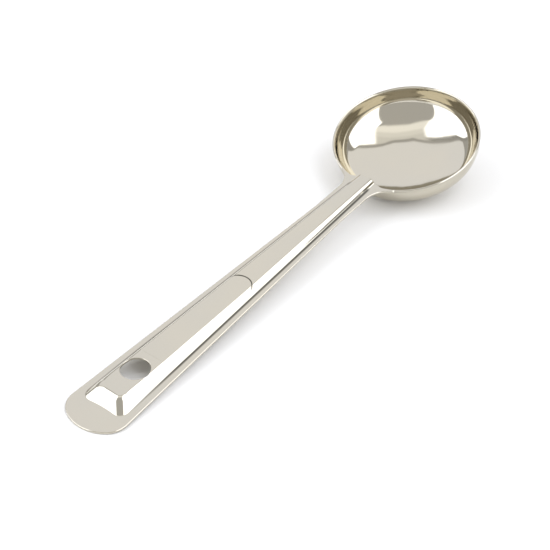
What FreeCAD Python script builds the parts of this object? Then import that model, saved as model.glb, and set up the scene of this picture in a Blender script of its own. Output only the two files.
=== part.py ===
"""A one-piece ladle pressed from polished stainless sheet.

The handle is a tapered strip with flat flanges and a raised, hollow ridge down its middle.  The ridge
ends in a sloped nose before the round end of the handle, has a large hanging hole there, and a shallow
flat panel stamped into its top.  At the other end the strip widens into the rim of a round bowl.

The handle is drawn lying in the plane of its flanges: X runs along it from the end towards the bowl,
Z is up and zero is the top face of the flanges.  The bowl is drawn about its own axis with zero at the
top of its rim.  The finished ladle is then tipped so that the end of the handle and the bottom of the
bowl both stand on Z = 0, with the middle of its length at X = 0.
"""
import FreeCAD, Part
import Sketcher
import os
import math

V = FreeCAD.Vector

doc = FreeCAD.newDocument("Ladle")
sheet = doc.addObject("Spreadsheet::Sheet", "Sizes")

# Driving dimensions in millimetres and degrees
driving = [
    ("gauge", 1.2, "thickness of the sheet"),
    ("handle_length", 244.0, "end of the handle to the near edge of the rim"),
    ("end_width", 37.8, "width of the handle at its round end"),
    ("end_tip_radius", 24.0, "radius of the middle of the round end"),
    ("end_corner_radius", 12.5, "radius of the two corners of the round end"),
    ("neck_length", 34.0, "straight part of the handle's sides before the rim"),
    ("neck_width", 20.2, "width of the handle before the bowl"),
    ("neck_flare_radius", 16.0, "radius of the two curves that widen into the rim"),
    ("ridge_root", 10.0, "place of the first section of the ridge, before the nose"),
    ("ridge_mid", 135.0, "place of the middle section of the ridge"),
    ("ridge_reach", 10.0, "how far the last section of the ridge lies inside the bowl"),
    ("root_foot_width", 28.6, "width of the ridge at its foot, first section"),
    ("mid_foot_width", 19.6, "the same, middle section"),
    ("mouth_foot_width", 11.2, "the same, last section"),
    ("root_top_width", 18.0, "width of the ridge at its top, first section"),
    ("mid_top_width", 14.6, "the same, middle section"),
    ("mouth_top_width", 8.2, "the same, last section"),
    ("root_height", 6.8, "height of the ridge above the flanges, first section"),
    ("mid_height", 4.3, "the same, middle section"),
    ("mouth_height", 3.3, "the same, last section"),
    ("root_shoulder", 5.0, "rounding between the top and the sides of the ridge, first section"),
    ("mid_shoulder", 5.0, "the same, middle section"),
    ("mouth_shoulder", 3.4, "the same, last section"),
    ("nose_place", 16.5, "foot of the nose from the end of the handle"),
    ("nose_slope", 50.0, "slope of the nose"),
    ("nose_radius", 4.5, "rounding between the nose and the rest of the ridge"),
    ("foot_radius", 1.5, "rounding between the ridge and the top of the flanges"),
    ("edge_round", 0.3, "rounding of the edges of the flanges"),
    ("hole_round", 0.3, "rounding of the edges of the hanging hole"),
    ("crest_round", 0.2, "rounding where the handle ends over the room of the bowl"),
    ("hole_place", 43.0, "middle of the hanging hole from the end of the handle"),
    ("hole_width", 16.0, "diameter of the hanging hole"),
    ("panel_near", 55.5, "near end of the flat panel"),
    ("panel_far", 133.7, "far end of the flat panel, on the middle line"),
    ("panel_width", 17.2, "diameter of the far end of the flat panel"),
    ("panel_drop", 0.3, "depth of the flat panel under the crown of the ridge"),
    ("rim_radius", 45.0, "outer radius of the rim"),
    ("bowl_depth", 24.5, "depth inside the bowl below the top of the rim"),
    ("side_radius", 16.0, "inside radius of the side of the bowl"),
    ("lip_radius", 6.0, "radius of the flared lip on the inside of the bowl"),
    ("lip_angle", 25.0, "how far the lip leans outward"),
    ("rim_step", 0.9, "how far the handle stands above the rim where they meet"),
    ("bend_angle", 10.5, "angle between the handle and the plane of the rim"),
]

# Sizes that follow from the driving ones
derived = [
    # round end and sides of the handle
    ("half_neck", "neck_width / 2"),
    ("taper_stop", "handle_length - neck_length"),
    ("ridge_mouth", "handle_length + ridge_reach"),
    ("end_corner_y", "end_width / 2 - end_corner_radius"),
    ("end_corner_x", "end_tip_radius - sqrt((end_tip_radius - end_corner_radius)^2 - end_corner_y^2)"),
    ("end_ratio", "end_tip_radius / (end_tip_radius - end_corner_radius)"),
    ("end_joint_x", "end_tip_radius + end_ratio * (end_corner_x - end_tip_radius)"),
    ("end_joint_y", "end_ratio * end_corner_y"),
    ("side_run_x", "taper_stop - end_corner_x"),
    ("side_run_y", "half_neck - end_corner_y"),
    ("side_turn", "atan(side_run_y / side_run_x) + acos(end_corner_radius / sqrt(side_run_x^2 + side_run_y^2))"),
    ("side_start_x", "end_corner_x + end_corner_radius * cos(side_turn)"),
    ("side_start_y", "end_corner_y + end_corner_radius * sin(side_turn)"),
    # bowl seen from above, and the curves that widen into it
    ("bend", "bend_angle * 1deg"),
    ("bowl_place", "handle_length + rim_radius * cos(bend)"),
    ("bowl_height", "rim_radius * sin(bend) - rim_step"),
    ("flare_y", "half_neck + neck_flare_radius"),
    ("flare_reach", "rim_radius + neck_flare_radius"),
    ("flare_x", "bowl_place - sqrt(flare_reach^2 - flare_y^2)"),
    ("flare_end_x", "bowl_place - rim_radius * (bowl_place - flare_x) / flare_reach"),
    ("flare_end_y", "rim_radius * flare_y / flare_reach"),
    # section of the bowl, about its axis
    ("lean_out", "lip_angle * 1deg"),
    ("lip_back", "lip_radius - gauge"),
    ("lip_mid", "lip_radius - gauge / 2"),
    ("lip_x", "rim_radius - gauge / 2 + lip_mid * cos(lean_out)"),
    ("lip_z", "-gauge / 2 - lip_mid * sin(lean_out)"),
    ("side_x", "lip_x - lip_radius - side_radius"),
    ("side_rise", "bowl_depth + lip_z - side_radius"),
    ("base_radius", "side_x^2 / (2 * side_rise) + side_radius + side_rise / 2"),
    ("base_z", "base_radius - bowl_depth"),
    ("base_turn", "asin(side_x / (base_radius - side_radius))"),
    ("base_back", "base_radius + gauge"),
    ("side_back", "side_radius + gauge"),
    ("in_bottom_z", "-bowl_depth"),
    ("out_bottom_z", "-bowl_depth - gauge"),
    ("in_base_x", "base_radius * sin(base_turn)"),
    ("in_base_z", "base_z - base_radius * cos(base_turn)"),
    ("out_base_x", "base_back * sin(base_turn)"),
    ("out_base_z", "base_z - base_back * cos(base_turn)"),
    ("in_side_x", "side_x + side_radius"),
    ("out_side_x", "side_x + side_back"),
    ("in_lip_x", "lip_x - lip_radius * cos(lean_out)"),
    ("in_lip_z", "lip_z + lip_radius * sin(lean_out)"),
    ("out_lip_x", "lip_x - lip_back * cos(lean_out)"),
    ("out_lip_z", "lip_z + lip_back * sin(lean_out)"),
    ("edge_radius", "gauge / 2"),
    ("edge_x", "lip_x - lip_mid * cos(lean_out)"),
    ("edge_z", "lip_z + lip_mid * sin(lean_out)"),
    ("clear_height", "2 * root_height"),
    # rounding where the handle ends in the bowl, limited by the height of the wall at its two ends
    ("wall_drop", "(rim_radius - sqrt(in_lip_x^2 - flare_end_y^2)) * sin(bend)"),
    ("end_wall", "(rim_step - wall_drop) / cos(bend) - in_lip_z"),
    ("crest_fit", "min(crest_round; 0.9 * end_wall)"),
    # nose of the ridge, and of the hollow one gauge inside it
    ("nose", "nose_slope * 1deg"),
    ("ridge_nose_low_x", "nose_place - gauge / 2 / tan(nose)"),
    ("ridge_nose_low_z", "-gauge / 2"),
    ("ridge_nose_high_x", "nose_place + clear_height / tan(nose)"),
    ("hollow_nose_place", "nose_place + gauge * tan(nose / 2)"),
    ("hollow_nose_low_x", "hollow_nose_place - gauge / tan(nose)"),
    ("hollow_nose_low_z", "-2 * gauge"),
    ("hollow_nose_high_x", "hollow_nose_place + (clear_height + gauge) / tan(nose)"),
    ("nose_back_radius", "nose_radius - gauge"),
    # flat panel: its plane drops a little towards the bowl, like the crown of the ridge
    ("crown_fall", "atan((root_height - mid_height) / (ridge_mid - ridge_root))"),
    ("panel_height", "root_height - panel_drop"),
    ("stop_radius", "rim_radius + gauge"),
    ("panel_start", "panel_near - ridge_root"),
    ("panel_round", "panel_width / 2"),
    ("panel_stop", "panel_far - panel_round - ridge_root"),
    ("hole_half", "hole_width / 2"),
    # resting pose: the bottom of the bowl and the end of the handle stand on the table
    ("lean_x", "bowl_place - base_z * sin(bend) - edge_round"),
    ("lean_z", "bowl_height + base_z * cos(bend) + gauge - edge_round"),
    ("lean", "asin((base_back - edge_round) / sqrt(lean_x^2 + lean_z^2)) - atan(lean_z / lean_x)"),
    ("rim_lean", "bend + lean"),
    ("near_edge", "edge_round * (cos(lean) + sin(lean) - 1)"),
    ("bowl_far", "bowl_place * cos(lean) - bowl_height * sin(lean)"),
    ("far_edge", "bowl_far + side_x * cos(rim_lean) - lip_z * sin(rim_lean) + side_back"),
    ("rest_x", "-(near_edge + far_edge) / 2"),
    ("rest_z", "edge_round + (gauge - edge_round) * cos(lean) - edge_round * sin(lean)"),
]


def section_cells(kind, station, skin, below):
    """Cells of one section of the ridge, or of the hollow one gauge inside it."""
    key = kind + "_" + station
    slope = key + "_slope"
    return [
        (slope, "atan(%s_height / (%s_foot_width / 2 - %s_top_width / 2))" % (station, station, station)),
        (key + "_round", "%s_shoulder - %s" % (station, skin)),
        (key + "_top", "%s_height - %s" % (station, skin)),
        (key + "_corner", "%s_top_width / 2 - %s * tan(%s / 2)" % (station, skin, slope)),
        (key + "_ease", "%s_round * tan(%s / 2)" % (key, slope)),
        (key + "_flat", "%s_corner - %s_ease" % (key, key)),
        (key + "_side_y", "%s_corner + %s_ease * cos(%s)" % (key, key, slope)),
        (key + "_side_z", "%s_top - %s_ease * sin(%s)" % (key, key, slope)),
        (key + "_base_z", "-(%s)" % below),
        (key + "_base_y", "%s_corner + (%s_top + %s) / tan(%s)" % (key, key, below, slope)),
    ]


for station in ("root", "mid", "mouth"):
    derived += section_cells("ridge", station, "0 * gauge", "gauge / 2")
    derived += section_cells("hollow", station, "gauge", "2 * gauge")

row = 1
for alias, value, note in driving:
    sheet.set("A%d" % row, alias)
    sheet.set("B%d" % row, repr(value))
    sheet.set("C%d" % row, note)
    sheet.setAlias("B%d" % row, alias)
    row += 1
for alias, formula in derived:
    sheet.set("A%d" % row, alias)
    sheet.set("B%d" % row, "=" + formula)
    sheet.setAlias("B%d" % row, alias)
    row += 1
doc.recompute()


def size(alias):
    """Value of a cell as a plain number; angles come in degrees."""
    value = getattr(sheet, alias)
    return float(getattr(value, "Value", value))


def origin_plane(body, role):
    for feature in body.Origin.OriginFeatures:
        if feature.Role == role:
            return feature
    raise RuntimeError("no plane " + role)


def new_sketch(body, name, role):
    sketch = body.newObject("Sketcher::SketchObject", name)
    sketch.AttachmentSupport = [(origin_plane(body, role), "")]
    sketch.MapMode = "FlatFace"
    return sketch


def hold(sketch, edge, end, x_cell, y_cell, x_sign=1, y_sign=1):
    """Hold one end of an edge at the place that two cells give."""
    for kind, alias, sign in (("DistanceX", x_cell, x_sign), ("DistanceY", y_cell, y_sign)):
        if alias is None:
            axis = -2 if kind == "DistanceX" else -1
            sketch.addConstraint(Sketcher.Constraint("PointOnObject", edge, end, axis))
            continue
        index = sketch.addConstraint(Sketcher.Constraint(kind, -1, 1, edge, end, sign * size(alias)))
        sketch.setExpression("Constraints[%d]" % index, ("" if sign > 0 else "-") + "Sizes." + alias)


def hold_radius(sketch, edge, alias):
    index = sketch.addConstraint(Sketcher.Constraint("Radius", edge, size(alias)))
    sketch.setExpression("Constraints[%d]" % index, "Sizes." + alias)


def hold_centre(sketch, edge, alias):
    """Hold the centre of a half circle along the sketch's first axis."""
    index = sketch.addConstraint(Sketcher.Constraint("DistanceX", -1, 1, edge, 3, size(alias)))
    sketch.setExpression("Constraints[%d]" % index, "Sizes." + alias)


def join(sketch, first, first_end, second, second_end):
    sketch.addConstraint(Sketcher.Constraint("Coincident", first, first_end, second, second_end))


def line(sketch, x0, y0, x1, y1):
    return sketch.addGeometry(Part.LineSegment(V(x0, y0, 0), V(x1, y1, 0)), False)


def arc(sketch, x, y, radius, start, stop):
    """Arc about a centre from one angle to another, in degrees, anticlockwise."""
    circle = Part.Circle(V(x, y, 0), V(0, 0, 1), radius)
    return sketch.addGeometry(Part.ArcOfCircle(circle, math.radians(start), math.radians(stop)), False)


def angle_of(dx, dy):
    return math.degrees(math.atan2(dy, dx))


def place_body(body, x_cell, z_cell, turn_cell, axis_y):
    """Put a body at a place in the middle plane and turn it about the Y axis."""
    turn = FreeCAD.Rotation(V(0, axis_y, 0), size(turn_cell))
    body.Placement = FreeCAD.Placement(V(size(x_cell), 0, size(z_cell)), turn)
    body.setExpression("Placement.Base.x", "Sizes." + x_cell)
    body.setExpression("Placement.Base.z", "Sizes." + z_cell)
    body.setExpression("Placement.Rotation.Angle", "Sizes." + turn_cell)


def chosen(shape, test):
    """Names of the edges that pass a test."""
    return ["Edge%d" % (index + 1) for index, edge in enumerate(shape.Edges) if test(edge)]


def flat_at(edge, height):
    """True for an edge that lies at one height."""
    box = edge.BoundBox
    return abs(box.ZMin - height) < 0.01 and abs(box.ZMax - height) < 0.01


def middle(edge):
    return edge.valueAt((edge.FirstParameter + edge.LastParameter) / 2)


def round_edges(body, name, base, names, alias):
    fillet = body.newObject("PartDesign::Fillet", name)
    fillet.Base = (base, names)
    fillet.setExpression("Radius", "Sizes." + alias)
    doc.recompute()
    return fillet


def combine(body, name, tool, kind):
    step = body.newObject("PartDesign::Boolean", name)
    step.setObjects([tool])
    step.Type = kind
    doc.recompute()
    return step


# Strip of the handle seen from above, with its round end and the two curves into the rim
strip = doc.addObject("PartDesign::Body", "Strip")
outline = new_sketch(strip, "StripOutline", "XY_Plane")
tip_angle = angle_of(size("end_joint_x") - size("end_tip_radius"), size("end_joint_y"))
tip = arc(outline, size("end_tip_radius"), 0, size("end_tip_radius"), tip_angle, 360 - tip_angle)
corner_stop = angle_of(size("end_joint_x") - size("end_corner_x"), size("end_joint_y") - size("end_corner_y"))
left_corner = arc(outline, size("end_corner_x"), size("end_corner_y"), size("end_corner_radius"),
                  size("side_turn"), corner_stop)
left_side = line(outline, size("side_start_x"), size("side_start_y"), size("taper_stop"), size("half_neck"))
left_neck = line(outline, size("taper_stop"), size("half_neck"), size("flare_x"), size("half_neck"))
flare_stop = angle_of(size("flare_end_x") - size("flare_x"), size("flare_end_y") - size("flare_y"))
left_flare = arc(outline, size("flare_x"), size("flare_y"), size("neck_flare_radius"), -90, flare_stop)
left_tab = line(outline, size("flare_end_x"), size("flare_end_y"), size("ridge_mouth"), size("flare_end_y"))
mouth = line(outline, size("ridge_mouth"), size("flare_end_y"), size("ridge_mouth"), -size("flare_end_y"))
right_tab = line(outline, size("ridge_mouth"), -size("flare_end_y"), size("flare_end_x"), -size("flare_end_y"))
right_flare = arc(outline, size("flare_x"), -size("flare_y"), size("neck_flare_radius"), -flare_stop, 90)
right_neck = line(outline, size("flare_x"), -size("half_neck"), size("taper_stop"), -size("half_neck"))
right_side = line(outline, size("taper_stop"), -size("half_neck"), size("side_start_x"), -size("side_start_y"))
right_corner = arc(outline, size("end_corner_x"), -size("end_corner_y"), size("end_corner_radius"),
                   -corner_stop, -size("side_turn"))
join(outline, tip, 1, left_corner, 2)
join(outline, left_corner, 1, left_side, 1)
join(outline, left_side, 2, left_neck, 1)
join(outline, left_neck, 2, left_flare, 1)
join(outline, left_flare, 2, left_tab, 1)
join(outline, left_tab, 2, mouth, 1)
join(outline, mouth, 2, right_tab, 1)
join(outline, right_tab, 2, right_flare, 1)
join(outline, right_flare, 2, right_neck, 1)
join(outline, right_neck, 2, right_side, 1)
join(outline, right_side, 2, right_corner, 2)
join(outline, right_corner, 1, tip, 2)
for side, corner, side_edge, neck, flare, tip_end in (
        (1, left_corner, left_side, left_neck, left_flare, 1),
        (-1, right_corner, right_side, right_neck, right_flare, 2)):
    hold(outline, tip, tip_end, "end_joint_x", "end_joint_y", 1, side)
    hold(outline, corner, 1 if side > 0 else 2, "side_start_x", "side_start_y", 1, side)
    hold(outline, neck, 1 if side > 0 else 2, "taper_stop", "half_neck", 1, side)
    hold(outline, neck, 2 if side > 0 else 1, "flare_x", "half_neck", 1, side)
    hold(outline, flare, 2 if side > 0 else 1, "flare_end_x", "flare_end_y", 1, side)
    hold_radius(outline, corner, "end_corner_radius")
    hold_radius(outline, flare, "neck_flare_radius")
hold(outline, mouth, 1, "ridge_mouth", "flare_end_y", 1, 1)
hold(outline, mouth, 2, "ridge_mouth", "flare_end_y", 1, -1)
hold_radius(outline, tip, "end_tip_radius")
strip_pad = strip.newObject("PartDesign::Pad", "StripPad")
strip_pad.Profile = outline
strip_pad.setExpression("Length", "Sizes.gauge")
strip_pad.Reversed = True


def ridge_section(body, kind, station):
    """Section of the ridge across the handle: sloped sides, round shoulders and a flat crown."""
    key = kind + "_" + station
    sketch = new_sketch(body, key.title().replace("_", "") + "Section", "YZ_Plane")
    sketch.setExpression("AttachmentOffset.Base.z", "Sizes.ridge_" + station)
    base_y, base_z = size(key + "_base_y"), size(key + "_base_z")
    side_y, side_z = size(key + "_side_y"), size(key + "_side_z")
    flat, top, radius = size(key + "_flat"), size(key + "_top"), size(key + "_round")
    slope = size(key + "_slope")
    base = line(sketch, -base_y, base_z, base_y, base_z)
    left = line(sketch, base_y, base_z, side_y, side_z)
    left_round = arc(sketch, flat, top - radius, radius, 90 - slope, 90)
    crown = line(sketch, flat, top, -flat, top)
    right_round = arc(sketch, -flat, top - radius, radius, 90, 90 + slope)
    right = line(sketch, -side_y, side_z, -base_y, base_z)
    join(sketch, base, 2, left, 1)
    join(sketch, left, 2, left_round, 1)
    join(sketch, left_round, 2, crown, 1)
    join(sketch, crown, 2, right_round, 1)
    join(sketch, right_round, 2, right, 1)
    join(sketch, right, 2, base, 1)
    hold(sketch, base, 1, key + "_base_y", key + "_base_z", -1, 1)
    hold(sketch, base, 2, key + "_base_y", key + "_base_z", 1, 1)
    hold(sketch, left, 2, key + "_side_y", key + "_side_z", 1, 1)
    hold(sketch, right, 1, key + "_side_y", key + "_side_z", -1, 1)
    hold(sketch, crown, 1, key + "_flat", key + "_top", 1, 1)
    hold(sketch, crown, 2, key + "_flat", key + "_top", -1, 1)
    hold_radius(sketch, left_round, key + "_round")
    hold_radius(sketch, right_round, key + "_round")
    return sketch


def nose_face(shape, place, slope):
    """The sloped face at the end of the ridge."""
    normal = V(-math.sin(math.radians(slope)), 0, math.cos(math.radians(slope)))
    best = None
    for index, face in enumerate(shape.Faces):
        if face.Surface.TypeId != "Part::GeomPlane":
            continue
        u0, u1, v0, v1 = face.ParameterRange
        if (face.normalAt((u0 + u1) / 2, (v0 + v1) / 2) - normal).Length < 0.001:
            best = index
    return best


def ridge_body(name, kind, radius_alias):
    """Ridge, or the hollow inside it: a loft through three sections with a sloped, rounded nose."""
    body = doc.addObject("PartDesign::Body", name)
    sketches = [ridge_section(body, kind, station) for station in ("root", "mid", "mouth")]
    loft = body.newObject("PartDesign::AdditiveLoft", name + "Loft")
    loft.Profile = sketches[0]
    loft.Sections = sketches[1:]
    loft.Ruled = True
    cut = new_sketch(body, name + "NoseSide", "XZ_Plane")
    low_x, low_z = size(kind + "_nose_low_x"), size(kind + "_nose_low_z")
    high_x, high_z = size(kind + "_nose_high_x"), size("clear_height")
    slant = line(cut, low_x, low_z, high_x, high_z)
    over = line(cut, high_x, high_z, 0, high_z)
    back = line(cut, 0, high_z, 0, low_z)
    under = line(cut, 0, low_z, low_x, low_z)
    join(cut, slant, 2, over, 1)
    join(cut, over, 2, back, 1)
    join(cut, back, 2, under, 1)
    join(cut, under, 2, slant, 1)
    hold(cut, slant, 1, kind + "_nose_low_x", kind + "_nose_low_z")
    hold(cut, slant, 2, kind + "_nose_high_x", "clear_height")
    hold(cut, back, 1, None, "clear_height")
    hold(cut, back, 2, None, kind + "_nose_low_z")
    pocket = body.newObject("PartDesign::Pocket", name + "Nose")
    pocket.Profile = cut
    pocket.Midplane = True
    pocket.setExpression("Length", "2 * Sizes.end_width")
    doc.recompute()
    shape = pocket.Shape
    face_index = nose_face(shape, size("nose_place"), size("nose_slope"))
    low = shape.Faces[face_index].BoundBox.ZMin
    names = []
    for index, edge in enumerate(shape.Edges):
        if edge.BoundBox.ZMax - low < 0.01:
            continue
        if any(edge.isSame(other) for other in shape.Faces[face_index].Edges):
            names.append("Edge%d" % (index + 1))
    fillet = body.newObject("PartDesign::Fillet", name + "NoseRound")
    fillet.Base = (pocket, names)
    fillet.setExpression("Radius", "Sizes." + radius_alias)
    doc.recompute()
    return body


ridge = ridge_body("Ridge", "ridge", "nose_radius")
hollow = ridge_body("Hollow", "hollow", "nose_back_radius")


def bowl_arc(sketch, x0, z0, x1, z1, centre_x, centre_z, radius):
    """Arc in the section of the bowl, the short way between two points; its ends are 1 and 2 by angle."""
    first = angle_of(x0 - centre_x, z0 - centre_z)
    last = angle_of(x1 - centre_x, z1 - centre_z)
    while last < first:
        last += 360
    return arc(sketch, centre_x, centre_z, radius, first, last)


def inside_arcs(sketch):
    """Inside line of the section of the bowl: base, side and flared lip."""
    base = bowl_arc(sketch, 0, size("in_bottom_z"), size("in_base_x"), size("in_base_z"),
                    0, size("base_z"), size("base_radius"))
    side = bowl_arc(sketch, size("in_base_x"), size("in_base_z"), size("in_side_x"), size("lip_z"),
                    size("side_x"), size("lip_z"), size("side_radius"))
    lip = bowl_arc(sketch, size("in_lip_x"), size("in_lip_z"), size("in_side_x"), size("lip_z"),
                   size("lip_x"), size("lip_z"), size("lip_radius"))
    join(sketch, base, 2, side, 1)
    join(sketch, side, 2, lip, 2)
    hold(sketch, base, 1, None, "in_bottom_z")
    hold(sketch, base, 2, "in_base_x", "in_base_z")
    hold(sketch, side, 2, "in_side_x", "lip_z")
    hold(sketch, lip, 1, "in_lip_x", "in_lip_z")
    hold_radius(sketch, base, "base_radius")
    hold_radius(sketch, side, "side_radius")
    hold_radius(sketch, lip, "lip_radius")
    return base, lip


def turned(body, sketch, name):
    spin = body.newObject("PartDesign::Revolution", name)
    spin.Profile = sketch
    spin.ReferenceAxis = (sketch, ["V_Axis"])
    spin.Angle = 360
    doc.recompute()
    return spin


# Bowl: one gauge of sheet all over, with a full-round edge
bowl = doc.addObject("PartDesign::Body", "Bowl")
section = new_sketch(bowl, "BowlSection", "XZ_Plane")
base, lip = inside_arcs(section)
edge = bowl_arc(section, size("out_lip_x"), size("out_lip_z"), size("in_lip_x"), size("in_lip_z"),
                size("edge_x"), size("edge_z"), size("edge_radius"))
lip_outside = bowl_arc(section, size("out_lip_x"), size("out_lip_z"), size("out_side_x"), size("lip_z"),
                       size("lip_x"), size("lip_z"), size("lip_back"))
side_outside = bowl_arc(section, size("out_base_x"), size("out_base_z"), size("out_side_x"), size("lip_z"),
                        size("side_x"), size("lip_z"), size("side_back"))
base_outside = bowl_arc(section, 0, size("out_bottom_z"), size("out_base_x"), size("out_base_z"),
                        0, size("base_z"), size("base_back"))
axis_line = line(section, 0, size("out_bottom_z"), 0, size("in_bottom_z"))
join(section, edge, 2, lip, 1)
join(section, edge, 1, lip_outside, 1)
join(section, lip_outside, 2, side_outside, 2)
join(section, side_outside, 1, base_outside, 2)
join(section, base_outside, 1, axis_line, 1)
join(section, axis_line, 2, base, 1)
hold(section, edge, 1, "out_lip_x", "out_lip_z")
hold(section, side_outside, 2, "out_side_x", "lip_z")
hold(section, side_outside, 1, "out_base_x", "out_base_z")
hold(section, base_outside, 1, None, "out_bottom_z")
hold_centre(section, edge, "edge_x")
hold_radius(section, lip_outside, "lip_back")
hold_radius(section, side_outside, "side_back")
hold_radius(section, base_outside, "base_back")
turned(bowl, section, "BowlTurned")
place_body(bowl, "bowl_place", "bowl_height", "bend", -1)

# Room inside the bowl, carried on straight up above the rim
room = doc.addObject("PartDesign::Body", "Room")
room_section = new_sketch(room, "RoomSection", "XZ_Plane")
base, lip = inside_arcs(room_section)
wall = line(room_section, size("in_lip_x"), size("in_lip_z"), size("in_lip_x"), size("clear_height"))
over = line(room_section, size("in_lip_x"), size("clear_height"), 0, size("clear_height"))
middle_line = line(room_section, 0, size("clear_height"), 0, size("in_bottom_z"))
join(room_section, lip, 1, wall, 1)
join(room_section, wall, 2, over, 1)
join(room_section, over, 2, middle_line, 1)
join(room_section, middle_line, 2, base, 1)
hold(room_section, over, 1, "in_lip_x", "clear_height")
hold(room_section, over, 2, None, "clear_height")
turned(room, room_section, "RoomTurned")
place_body(room, "bowl_place", "bowl_height", "bend", -1)

# Round space one gauge wider than the rim: the hollow of the ridge stops at it, so that a wall closes the ridge
rim_space = doc.addObject("PartDesign::Body", "RimSpace")
rim_circle = new_sketch(rim_space, "RimCircle", "XY_Plane")
ring = rim_circle.addGeometry(Part.Circle(V(0, 0, 0), V(0, 0, 1), size("stop_radius")), False)
rim_circle.addConstraint(Sketcher.Constraint("Coincident", ring, 3, -1, 1))
hold_radius(rim_circle, ring, "stop_radius")
rim_pad = rim_space.newObject("PartDesign::Pad", "RimPad")
rim_pad.Profile = rim_circle
rim_pad.Midplane = True
rim_pad.setExpression("Length", "4 * Sizes.clear_height")
place_body(rim_space, "bowl_place", "bowl_height", "bend", -1)
doc.recompute()
combine(hollow, "HollowStop", rim_space, "Cut")

# Space over the flat panel, with a round far end
panel = doc.addObject("PartDesign::Body", "PanelSpace")
panel_outline = new_sketch(panel, "PanelOutline", "XY_Plane")
near = line(panel_outline, size("panel_start"), size("panel_round"), size("panel_start"), -size("panel_round"))
low = line(panel_outline, size("panel_start"), -size("panel_round"), size("panel_stop"), -size("panel_round"))
far = arc(panel_outline, size("panel_stop"), 0, size("panel_round"), -90, 90)
high = line(panel_outline, size("panel_stop"), size("panel_round"), size("panel_start"), size("panel_round"))
join(panel_outline, near, 2, low, 1)
join(panel_outline, low, 2, far, 1)
join(panel_outline, far, 2, high, 1)
join(panel_outline, high, 2, near, 1)
hold(panel_outline, near, 1, "panel_start", "panel_round")
hold(panel_outline, near, 2, "panel_start", "panel_round", 1, -1)
hold(panel_outline, far, 1, "panel_stop", "panel_round", 1, -1)
hold(panel_outline, far, 2, "panel_stop", "panel_round")
hold_centre(panel_outline, far, "panel_stop")
panel_pad = panel.newObject("PartDesign::Pad", "PanelPad")
panel_pad.Profile = panel_outline
panel_pad.setExpression("Length", "Sizes.clear_height")
place_body(panel, "ridge_root", "panel_height", "crown_fall", 1)
doc.recompute()


def foot_half(kind, x):
    """Half-width of the foot of the ridge, or of the mouth of the hollow, at one place."""
    if x < size("ridge_mid"):
        first, last = "root", "mid"
    else:
        first, last = "mid", "mouth"
    share = (x - size("ridge_" + first)) / (size("ridge_" + last) - size("ridge_" + first))
    widths = [size(kind + "_" + station + "_base_y") for station in (first, last)]
    return widths[0] + share * (widths[1] - widths[0])


def on_rim_wall(edge):
    """True for an edge of the upright wall that the room of the bowl cuts, above the rim."""
    turn = FreeCAD.Rotation(V(0, -1, 0), size("bend_angle")).inverted()
    for share in (0.1, 0.5, 0.9):
        point = edge.valueAt(edge.FirstParameter + share * (edge.LastParameter - edge.FirstParameter))
        local = turn.multVec(point - V(size("bowl_place"), 0, size("bowl_height")))
        if abs(math.hypot(local.x, local.y) - size("in_lip_x")) > 0.02 or local.z < size("in_lip_z") + 0.01:
            return False
        if abs(local.y) > size("flare_end_y") - 0.01:
            return False
    return True


def on_hole_wall(edge):
    """True for an edge round the hanging hole."""
    for share in (0.1, 0.5, 0.9):
        point = edge.valueAt(edge.FirstParameter + share * (edge.LastParameter - edge.FirstParameter))
        if abs(math.hypot(point.x - size("hole_place"), point.y) - size("hole_half")) > 0.01:
            return False
    return edge.BoundBox.ZLength < size("gauge") * 0.9 or edge.BoundBox.XLength > 0.1


# Ladle: strip, ridge, hollow, hole, panel and bowl made one
outer_edges = chosen(strip_pad.Shape, lambda edge: edge.BoundBox.ZLength < 0.01
                     and edge.BoundBox.XMax < size("flare_end_x") + 0.01)
round_edges(strip, "EdgeRound", strip_pad, outer_edges, "edge_round")
joined = combine(strip, "WithRidge", ridge, "Fuse")
foot_edges = chosen(joined.Shape, lambda edge: flat_at(edge, 0) and middle(edge).x > size("nose_place") - 0.5
                    and abs(middle(edge).y) < foot_half("ridge", middle(edge).x)
                    and edge.BoundBox.XMin < size("ridge_mouth") - 0.1)
footed = round_edges(strip, "FootRound", joined, foot_edges, "foot_radius")
hollowed = combine(strip, "Hollowed", hollow, "Cut")
opened = combine(strip, "BowlRoom", room, "Cut")
crest_edges = chosen(opened.Shape, lambda edge: on_rim_wall(edge))
crested = round_edges(strip, "CrestRound", opened, crest_edges, "crest_fit")

# Hanging hole through the crown of the ridge, with rounded edges
hole_sketch = new_sketch(strip, "HangingHole", "XY_Plane")
hole_ring = hole_sketch.addGeometry(Part.Circle(V(size("hole_place"), 0, 0), V(0, 0, 1), size("hole_half")), False)
hold(hole_sketch, hole_ring, 3, "hole_place", None)
hold_radius(hole_sketch, hole_ring, "hole_half")
hole = strip.newObject("PartDesign::Pocket", "HangingHoleCut")
hole.Profile = hole_sketch
hole.Midplane = True
hole.setExpression("Length", "4 * Sizes.root_height")
doc.recompute()
hole_edges = chosen(hole.Shape, lambda edge: on_hole_wall(edge))
holed = round_edges(strip, "HoleRound", hole, hole_edges, "hole_round")
stamped = combine(strip, "FlatPanel", panel, "Cut")
whole = combine(strip, "WithBowl", bowl, "Fuse")

# Resting pose
strip.Label = "ladle"
place_body(strip, "rest_x", "rest_z", "lean", -1)
doc.recompute()

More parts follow.
